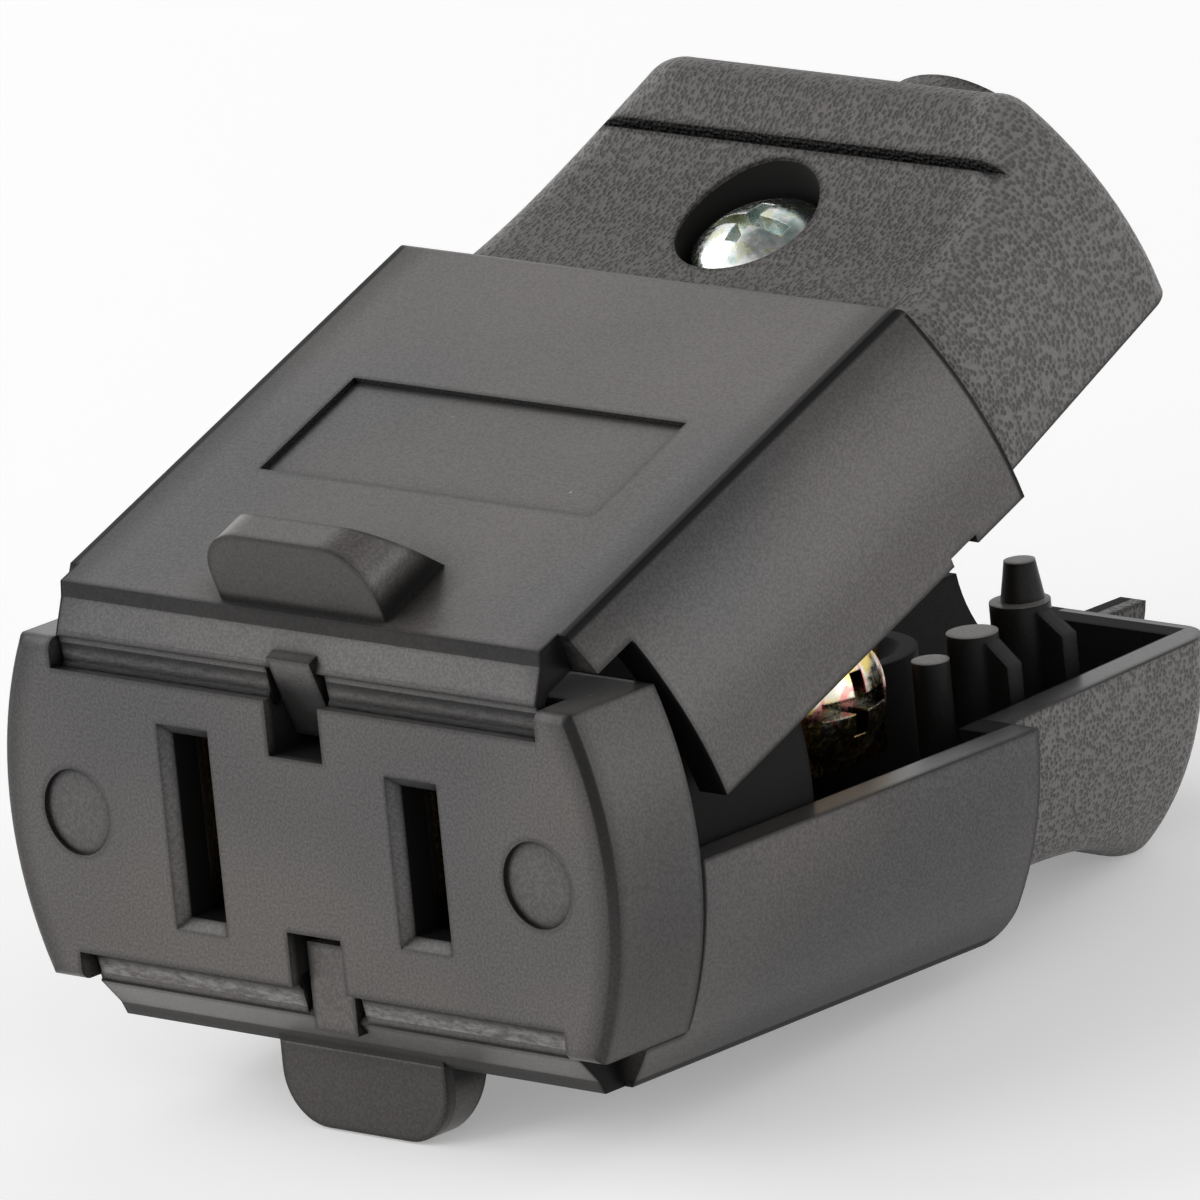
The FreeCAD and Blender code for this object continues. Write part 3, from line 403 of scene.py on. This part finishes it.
def cover_zones_group():
    """Masks of a cover: its inside, the outside of its neck, the sides of the neck, which are painted lighter
    as painted light, and its dark edges, which are painted shade.
    """
    group, place, made = new_group("cover_zones", "Inside", "Neck", "Lit_side", "Edge")
    axes = split(group, place)
    height = size_of(group, axes["Z"])
    radius = length_of(group, axes["X"], axes["Z"])
    part = calc(group, "DIVIDE", minus(group, axes["Y"], BODY_REAR), NECK_LENGTH)
    behind = ramp(group, part, 0.0, NECK_START)
    neck_side = minus(group, NECK_ROOT_RADIUS - SKIN, product(group, part, NECK_TAPER))
    flare = product(group, calc(group, "POWER", part, 3.0), NECK_RISE + NECK_DIP)
    neck_flat = total(group, minus(group, flare, product(group, part, NECK_DIP)), NECK_ROOT_HEIGHT - SKIN)
    side = blend_values(group, behind, BODY_RADIUS - SKIN, neck_side)
    flat = blend_values(group, behind, BODY_HALF_HEIGHT - SKIN, neck_flat)
    collar = product(group, above(group, axes["Y"], COLLAR_FRONT), above(group, radius, COLLAR_MIDDLE))
    bore = length_of(group, axes["X"], minus(group, axes["Y"], CLAMP_Y))
    bore = product(group, below(group, bore, BORE_RADIUS), below(group, height, total(group, flat, BORE_DEPTH)))
    outside = largest(group, above(group, radius, side), above(group, height, flat), collar,
                      below(group, axes["Y"], LIP_REAR))
    outside = product(group, outside, minus(group, 1.0, bore))
    link(group, minus(group, 1.0, outside), made["Inside"])
    link(group, product(group, outside, behind, above(group, height, PARTING_DEPTH)), made["Neck"])
    link(group, ramp(group, minus(group, radius, side), 0.0, LIT_SIDE_DEPTH), made["Lit_side"])
    link(group, cover_edges(group, axes, behind, radius), made["Edge"])
    return group


def block_zones_group():
    """Masks of the carrier, the slots and the notches of the face block, where shade is painted, and of the
    painted shade on its edges and on the sides of its flange, darker towards the bottom.
    """
    group, place, made = new_group("block_zones", "Inside", "Edge")
    axes = split(group, place)
    across, height = size_of(group, axes["X"]), size_of(group, axes["Z"])
    slot = product(group, within(group, across, SLOT_X - SLOT_HALF_WIDTH, SLOT_X + SLOT_HALF_WIDTH),
                   below(group, height, SLOT_HALF_HEIGHT), above(group, axes["Y"], SLOT_CHAMFER))
    notch = product(group, below(group, across, NOTCH_HALF), ramp(group, axes["Y"], *NOTCH_SPAN))
    carrier = above(group, axes["Y"], FLANGE_REAR)
    link(group, largest(group, carrier, slot, notch), made["Inside"])
    front = length_of(group, minus(group, length_of(group, axes["X"], axes["Z"]), FLANGE_RADIUS), axes["Y"])
    line = product(group, ramp(group, front, *FLANGE_LINE),
                   ramp(group, axes["Z"], *FLANGE_LINE_FADE, *FLANGE_LINE_SHADE))
    shoulder = ramp(group, front, *FLANGE_SHOULDER, *SHOULDER_SHADE)
    side = product(group, ramp(group, axes["Z"], *FLANGE_SIDE_FADE, *FLANGE_SIDE_SHADE),
                   above(group, axes["Y"], SLOT_CHAMFER), above(group, across, FLANGE_SIDE))
    link(group, largest(group, line, shoulder, slot, side), made["Edge"])
    return group


def neck_grain_group():
    """Fine pitted grain; its pits are also where shade is painted."""
    group, place, made = new_group("neck_grain", "Height", "Pits")
    pits = ramp(group, cells(group, place, GRAIN_SCALE, Randomness=0.8)["Distance"], *GRAIN_SPAN)
    swell = product(group, noise(group, place, SWELL_SCALE, detail=1.0), SWELL_SHARE)
    link(group, minus(group, swell, pits), made["Height"])
    link(group, pits, made["Pits"])
    return group


def hinge_web_group():
    """Streaks and whitening of a bent hinge web, and the painted shade at the root of the web and on the upper
    tongue.
    """
    group, place, made = new_group("hinge_web", "White", "Root", "Height")
    axes = split(group, place)
    across, depth = size_of(group, axes["X"]), size_of(group, axes["Z"])
    web = product(group, ramp(group, axes["Y"], *WEB_REAR), ramp(group, depth, *WEB_TOP_SPAN),
                  above(group, across, TONGUE_HALF))
    drawn = add(group, "ShaderNodeMapping", {"Vector": place, "Scale": STREAK_DRAW}).outputs["Vector"]
    streak = noise(group, drawn, STREAK_SCALE, detail=3.0, Roughness=0.7)
    patch = noise(group, place, PATCH_SCALE, detail=1.0)
    bend = ramp(group, depth, *WEB_BEND)
    white = product(group, ramp(group, streak, *STREAK_SPAN), ramp(group, patch, *PATCH_SPAN, *PATCH_WHITE))
    root = product(group, largest(group, minus(group, 1.0, bend), ramp(group, axes["Z"], *WEB_LINE)), web)
    tongue = product(group, below(group, across, TONGUE_HALF), below(group, axes["Y"], TONGUE_REAR),
                     ramp(group, axes["Z"], *TONGUE_SPAN), above(group, axes["Z"], 0.0))
    link(group, product(group, white, bend, web), made["White"])
    link(group, largest(group, root, tongue), made["Root"])
    link(group, product(group, streak, web), made["Height"])
    return group


def moulded_skin_group():
    """Faint mottling, whose broad tone also stands in for sheen that varies over the faces as painted sheen,
    fine speckle and a few specks of dust on a satin moulded surface.
    """
    group, place, made = new_group("moulded_skin", "Tone", "Warmth", "Roughness", "Height", "Dust")
    cloud = noise(group, place, CLOUD_SCALE, detail=2.0)
    speckle = noise(group, place, SPECKLE_SCALE, detail=1.0)
    warmth = noise(group, place, WARMTH_SCALE, detail=1.0)
    specks = cells(group, place, SPECK_SCALE)
    chance = add(group, "ShaderNodeSeparateColor", {"Color": specks["Color"]}).outputs[0]
    tone = total(group, ramp(group, cloud, *NOISE_SPAN, *CLOUD_TONES),
                 ramp(group, speckle, *NOISE_SPAN, *SPECKLE_TONES))
    dust = product(group, ramp(group, specks["Distance"], *SPECK_SPAN), above(group, chance, SPECK_RARITY))
    link(group, tone, made["Tone"])
    link(group, ramp(group, warmth, *WARMTH_SPAN), made["Warmth"])
    link(group, ramp(group, cloud, *NOISE_SPAN, *SKIN_ROUGHNESS), made["Roughness"])
    link(group, speckle, made["Height"])
    link(group, dust, made["Dust"])
    return group


def plating_group():
    """Blotches, flushes of colour and fine scuffs of a plated surface."""
    group, place, made = new_group("plating", "Blotch", "Flush", "Roughness", "Height")
    blotch = noise(group, place, BLOTCH_SCALE, detail=3.0, Distortion=1.2)
    scuff = noise(group, place, SCUFF_SCALE, detail=2.0)
    flush = noise(group, place, FLUSH_SCALE, detail=1.0, Distortion=0.8)
    link(group, ramp(group, blotch, *BLOTCH_SPAN), made["Blotch"])
    link(group, ramp(group, flush, *FLUSH_SPAN), made["Flush"])
    link(group, ramp(group, scuff, *NOISE_SPAN, *PLATING_ROUGHNESS), made["Roughness"])
    link(group, scuff, made["Height"])
    return group


COVER_ZONES = cover_zones_group()
BLOCK_ZONES = block_zones_group()
NECK_GRAIN = neck_grain_group()
HINGE_WEB = hinge_web_group()
MOULDED_SKIN = moulded_skin_group()
PLATING = plating_group()


def new_material(name):
    """Material with an empty tree, its Principled shader and its Object coordinates."""
    material = bpy.data.materials.new(name)
    material.use_nodes = True
    tree = material.node_tree
    tree.nodes.clear()
    shader = tree.nodes.new("ShaderNodeBsdfPrincipled")
    out = tree.nodes.new("ShaderNodeOutputMaterial")
    tree.links.new(shader.outputs["BSDF"], out.inputs["Surface"])
    place = tree.nodes.new("ShaderNodeTexCoord").outputs["Object"]
    return material, tree, shader, place


def use_group(tree, group, place):
    """Outputs of a node group at a place."""
    made = add(tree, "ShaderNodeGroup", node_tree=group)
    tree.links.new(place, made.inputs["Vector"])
    return made.outputs


def rounded_normal(tree, softness=EDGE_SOFTNESS):
    """Normal of a surface whose edges are a little rounded."""
    return add(tree, "ShaderNodeBevel", {"Radius": softness}, samples=EDGE_SAMPLES).outputs["Normal"]


def bumped_normal(tree, rounded, height, depth):
    """Rounded normal with the relief of a texture."""
    inputs = {"Height": height, "Distance": depth, "Strength": 1.0, "Normal": rounded}
    return add(tree, "ShaderNodeBump", inputs).outputs["Normal"]


def edge_mask(tree, rounded):
    """1 where rounding turns the normal, so along the edges, else 0."""
    flat = tree.nodes.new("ShaderNodeNewGeometry").outputs["Normal"]
    likeness = add(tree, "ShaderNodeVectorMath", {0: rounded, 1: flat}, operation="DOT_PRODUCT")
    return ramp(tree, likeness.outputs["Value"], *EDGE_SPAN)


def crease(tree, reach):
    """0 on open surfaces, up to 1 deep in the corners and recesses of a piece."""
    shade = add(tree, "ShaderNodeAmbientOcclusion", {"Distance": reach}, samples=CREASE_SAMPLES,
                only_local=True).outputs["AO"]
    return ramp(tree, shade, *CREASE_SPAN)


def moulded_plastic(name, zones_of, whiteness=0.0, turn=0.0, pivot=Vector()):
    """Satin black plastic, duller and darker inside and along edges and creases, where shade is painted. A
    cover has a grained neck and whitened hinge webs, laid out on the closed cover and turned about the pivot
    with it."""
    material, tree, shader, place = new_material(name)
    skin = use_group(tree, MOULDED_SKIN, place)
    colour = mix_colour(tree, skin["Warmth"], PLASTIC_COOL, PLASTIC_WARM)
    colour = mix_colour(tree, skin["Tone"], BLACK, colour)
    colour.node.clamp_factor = False
    colour = mix_colour(tree, skin["Dust"], colour, DUST)
    roughness, height, depth = skin["Roughness"], skin["Height"], SKIN_DEPTH
    sheen, web_root_shade = PLASTIC_SHEEN, 0.0
    closing = Matrix.Rotation(-turn, 3, "X")
    closed = add(tree, "ShaderNodeMapping", {"Vector": place, "Rotation": (-turn, 0.0, 0.0),
                                             "Location": pivot - closing @ pivot}).outputs["Vector"]
    zones = use_group(tree, zones_of, closed)
    if zones_of == COVER_ZONES:
        grain = use_group(tree, NECK_GRAIN, closed)
        web = use_group(tree, HINGE_WEB, closed)
        # Tone of the neck's grain crests, painted lighter on the sides of the neck as painted light
        crest = mix_colour(tree, zones["Lit_side"], PLASTIC_CREST, PLASTIC_LIT_SIDE)
        # Pits of the grain painted darker: painted shade
        crest = mix_colour(tree, product(tree, grain["Pits"], zones["Neck"], PIT_SHADE), crest, PLASTIC_SHADE)
        colour = mix_colour(tree, zones["Neck"], colour, crest)
        colour = mix_colour(tree, product(tree, web["White"], whiteness), colour, STRESS_WHITE)
        roughness = total(tree, roughness, product(tree, zones["Neck"], NECK_ROUGHENING))
        height = total(tree, product(tree, grain["Height"], zones["Neck"]),
                       product(tree, skin["Height"], SKIN_SHARE), product(tree, web["Height"], STREAK_SHARE))
        depth = GRAIN_DEPTH
        sheen = blend_values(tree, zones["Neck"], PLASTIC_SHEEN, NECK_SHEEN)
        # Painted shade under the lip, at the root of the web and on the upper tongue
        web_root_shade = product(tree, web["Root"], WEB_SHADE)
    rounded = rounded_normal(tree)
    # Painted shade: the inside, the edges, the creases and the marked zones turn dark and lose their sheen
    inside = mix_colour(tree, skin["Tone"], PLASTIC_SHADE, PLASTIC_INSIDE)
    colour = mix_colour(tree, zones["Inside"], colour, inside)
    dark = largest(tree, product(tree, edge_mask(tree, rounded), EDGE_SHADE), zones["Edge"],
                   crease(tree, CREASE_REACH), web_root_shade)
    dull = largest(tree, dark, zones["Inside"])
    link(tree, mix_colour(tree, dark, colour, PLASTIC_SHADE), shader.inputs["Base Color"])
    link(tree, blend_values(tree, zones["Inside"], roughness, INSIDE_ROUGHNESS), shader.inputs["Roughness"])
    link(tree, bumped_normal(tree, rounded, height, depth), shader.inputs["Normal"])
    link(tree, product(tree, minus(tree, 1.0, dull), sheen), shader.inputs["Coat Weight"])
    shader.inputs["Coat Roughness"].default_value = SHEEN_ROUGHNESS
    shader.inputs["Specular IOR Level"].default_value = PLASTIC_GLOSS
    return material


def inner_plastic(name):
    """Dull black plastic of the wire guides, darkened as painted shade, with the tops of the posts painted
    lighter as a painted highlight.
    """
    material, tree, shader, place = new_material(name)
    skin = use_group(tree, MOULDED_SKIN, place)
    colour = mix_colour(tree, skin["Tone"], PLASTIC_SHADE, PLASTIC_INSIDE)
    axes = split(tree, place)
    for front, rear, top in POST_TOPS:
        # Tops of the posts painted lighter: painted highlight
        top_highlight = product(tree, within(tree, axes["Y"], front, rear),
                         within(tree, axes["Z"], top - POST_TOP_DEPTH, top + POST_TOP_DEPTH), skin["Tone"])
        colour = mix_colour(tree, top_highlight, colour, POST_TOP_HIGHLIGHT)
    normal = bumped_normal(tree, rounded_normal(tree), skin["Height"], INNER_SKIN_DEPTH)
    link(tree, mix_colour(tree, skin["Dust"], colour, DUST), shader.inputs["Base Color"])
    link(tree, skin["Roughness"], shader.inputs["Roughness"])
    link(tree, normal, shader.inputs["Normal"])
    shader.inputs["Specular IOR Level"].default_value = PLASTIC_GLOSS
    return material


def plated_metal(name, tone, tint, flush, recess_shade):
    """Bright metal with a second tint in blotches, a third in small patches, and recesses darkened as painted
    shade.
    """
    material, tree, shader, place = new_material(name)
    plating = use_group(tree, PLATING, place)
    colour = mix_colour(tree, plating["Flush"], mix_colour(tree, plating["Blotch"], tone, tint), flush)
    # Recesses darkened: painted shade
    colour = mix_colour(tree, product(tree, crease(tree, RECESS_REACH), recess_shade), colour, PLASTIC_SHADE)
    normal = bumped_normal(tree, rounded_normal(tree, EDGE_SOFTNESS / 4), plating["Height"], PLATING_DEPTH)
    link(tree, colour, shader.inputs["Base Color"])
    link(tree, plating["Roughness"], shader.inputs["Roughness"])
    link(tree, normal, shader.inputs["Normal"])
    shader.inputs["Metallic"].default_value = 1.0
    return material


MATERIALS = {
    "face_block": moulded_plastic("face_plastic", BLOCK_ZONES),
    "upper_cover": moulded_plastic("upper_cover_plastic", COVER_ZONES, UPPER_WHITENESS,
                                   OPEN_ANGLE, UPPER_PIVOT),
    "lower_cover": moulded_plastic("lower_cover_plastic", COVER_ZONES, LOWER_WHITENESS),
    "neutral_contact": plated_metal("brass", BRASS, BRASS_TINT, BRASS_FLUSH, BRASS_RECESS_SHADE),
    "clamp_screw": plated_metal("zinc_plating", ZINC, ZINC_TINT, ZINC_FLUSH, ZINC_RECESS_SHADE),
    "hot_screw": plated_metal("yellow_plating", GOLD, GOLD_TINT, GOLD_FLUSH, GOLD_RECESS_SHADE),
    "neutral_wire_guide": inner_plastic("guide_plastic"),
}
MATERIALS["hot_contact"] = MATERIALS["neutral_contact"]
MATERIALS["neutral_screw"] = MATERIALS["clamp_screw"]
MATERIALS["hot_wire_guide"] = MATERIALS["neutral_wire_guide"]


def paint(piece, material):
    """Give a piece one material."""
    piece.data.materials.clear()
    piece.data.materials.append(material)


def finished_piece(name, mesh, material):
    """Object of a bmesh, with its faces turned outwards."""
    bmesh.ops.remove_doubles(mesh, verts=mesh.verts, dist=WELD)
    bmesh.ops.recalc_face_normals(mesh, faces=mesh.faces)
    data = bpy.data.meshes.new(name)
    mesh.to_mesh(data)
    mesh.free()
    piece = bpy.data.objects.new(name, data)
    bpy.context.scene.collection.objects.link(piece)
    paint(piece, material)
    return piece


def screw_thread(name, place, material, root, crest, pitch, turns):
    """Helical ridge round a shank, spun up the Z axis from its foot and then laid in place."""
    mesh = bmesh.new()
    flank = THREAD_FLANK * pitch
    corners = [mesh.verts.new(corner)
               for corner in ((root, 0.0, -flank), (crest, 0.0, 0.0), (root, 0.0, flank))]
    ridge = [mesh.edges.new((corners[index - 1], corner)) for index, corner in enumerate(corners)]
    steps = STEPS_PER_TURN * turns
    bmesh.ops.spin(mesh, geom=corners + ridge, cent=(0.0, 0.0, 0.0), axis=(0.0, 0.0, 1.0),
                   dvec=(0.0, 0.0, pitch * turns / steps), angle=math.tau * turns, steps=steps,
                   use_duplicate=False)
    bmesh.ops.holes_fill(mesh, edges=mesh.edges, sides=3)
    bmesh.ops.transform(mesh, matrix=place, verts=mesh.verts)
    return finished_piece(name, mesh, material)


def add_threads():
    """Threads on the shanks of the clamp screw and of the two terminal screws."""
    opened = (Matrix.Translation(UPPER_PIVOT) @ Matrix.Rotation(OPEN_ANGLE, 4, "X")
              @ Matrix.Translation(-UPPER_PIVOT))
    foot = Matrix.Translation((0.0, CLAMP_Y, CLAMP_THREAD_FOOT))
    thread = screw_thread("clamp_thread", opened @ foot, MATERIALS["clamp_screw"], **CLAMP_THREAD)
    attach(thread, "clamp")
    for side, pole, slot in ((-1, "neutral", "silver_screw"), (1, "hot", "gold_screw")):
        foot = Matrix.Translation((side * TERMINAL_THREAD_FOOT, TERMINAL_Y, TERMINAL_Z))
        foot = foot @ Matrix.Rotation(side * math.pi / 2, 4, "Y")
        thread = screw_thread(pole + "_thread", foot, MATERIALS[pole + "_screw"], **TERMINAL_THREAD)
        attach(thread, pole + "_terminal")


def set_camera():
    """Camera at the photograph's viewing angle."""
    camera = bpy.data.objects.new("camera", bpy.data.cameras.new("camera"))
    camera.data.lens = CAMERA_LENS
    camera.data.sensor_width = SENSOR_WIDTH
    camera.data.clip_start = CAMERA_CLIP
    aim = (CAMERA_TARGET - CAMERA_PLACE).to_track_quat("-Z", "Y").to_matrix().to_4x4()
    camera.matrix_world = Matrix.Translation(CAMERA_PLACE) @ aim @ Matrix.Rotation(-CAMERA_ROLL, 4, "Z")
    bpy.context.scene.collection.objects.link(camera)
    bpy.context.scene.camera = camera


def seen_directly(tree):
    """1 for what the camera sees, straight or mirrored or through glass, and 0 for light on other things."""
    path = tree.nodes.new("ShaderNodeLightPath").outputs
    return largest(tree, path["Is Glossy Ray"], path["Is Transmission Ray"], path["Is Camera Ray"])


def set_floor():
    """Pale floor under the lower tab and the end of the lower neck, on which the connector rests."""
    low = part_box("lower_cover")[0]
    tab_foot = Vector((0.0, TAB_MIDDLE, low.z))
    slope = math.atan2(NECK_CREST.z - tab_foot.z, NECK_CREST.y - tab_foot.y)
    mesh = bmesh.new()
    bmesh.ops.create_grid(mesh, x_segments=1, y_segments=1, size=FLOOR_SIZE,
                          matrix=Matrix.Translation(tab_foot) @ Matrix.Rotation(slope, 4, "X"))
    material, tree, shader, _ = new_material("pale_floor")
    shader.inputs["Base Color"].default_value = (*FLOOR_TONE, 1.0)
    shader.inputs["Roughness"].default_value = 1.0
    shader.inputs["Specular IOR Level"].default_value = 0.0
    shader.inputs["Emission Color"].default_value = (1.0, 1.0, 1.0, 1.0)
    link(tree, product(tree, seen_directly(tree), FLOOR_GLOW), shader.inputs["Emission Strength"])
    finished_piece("floor", mesh, material)


def set_world():
    """White sky, dimmer overhead and for what the camera doesn't see."""
    world = bpy.data.worlds.new("studio")
    bpy.context.scene.world = world
    world.use_nodes = True
    tree = world.node_tree
    background = tree.nodes["Background"]
    background.inputs["Color"].default_value = (1.0, 1.0, 1.0, 1.0)
    way = tree.nodes.new("ShaderNodeTexCoord").outputs["Generated"]
    light = product(tree, ramp(tree, seen_directly(tree), 0.0, 1.0, *SKY_LIGHT),
                    ramp(tree, split(tree, way)["Z"], *SKY_TOP, *SKY_TOP_LIGHT))
    link(tree, light, background.inputs["Strength"])


def set_lamp(name, place, size, power):
    """Round area lamp turned to the connector."""
    lamp = bpy.data.objects.new(name, bpy.data.lights.new(name, "AREA"))
    lamp.data.shape = "DISK"
    lamp.data.size = size
    lamp.data.energy = power
    lamp.location = place
    lamp.rotation_euler = (CAMERA_TARGET - place).to_track_quat("-Z", "Y").to_euler()
    bpy.context.scene.collection.objects.link(lamp)


for node_name, node in frame["nodes"].items():
    paint(node, MATERIALS[node_name])
add_threads()
set_camera()
set_floor()
set_world()
for lamp_name, (lamp_place, lamp_size, lamp_power) in LAMPS.items():
    set_lamp(lamp_name, lamp_place, lamp_size, lamp_power)
bpy.context.scene.view_settings.view_transform = "Standard"
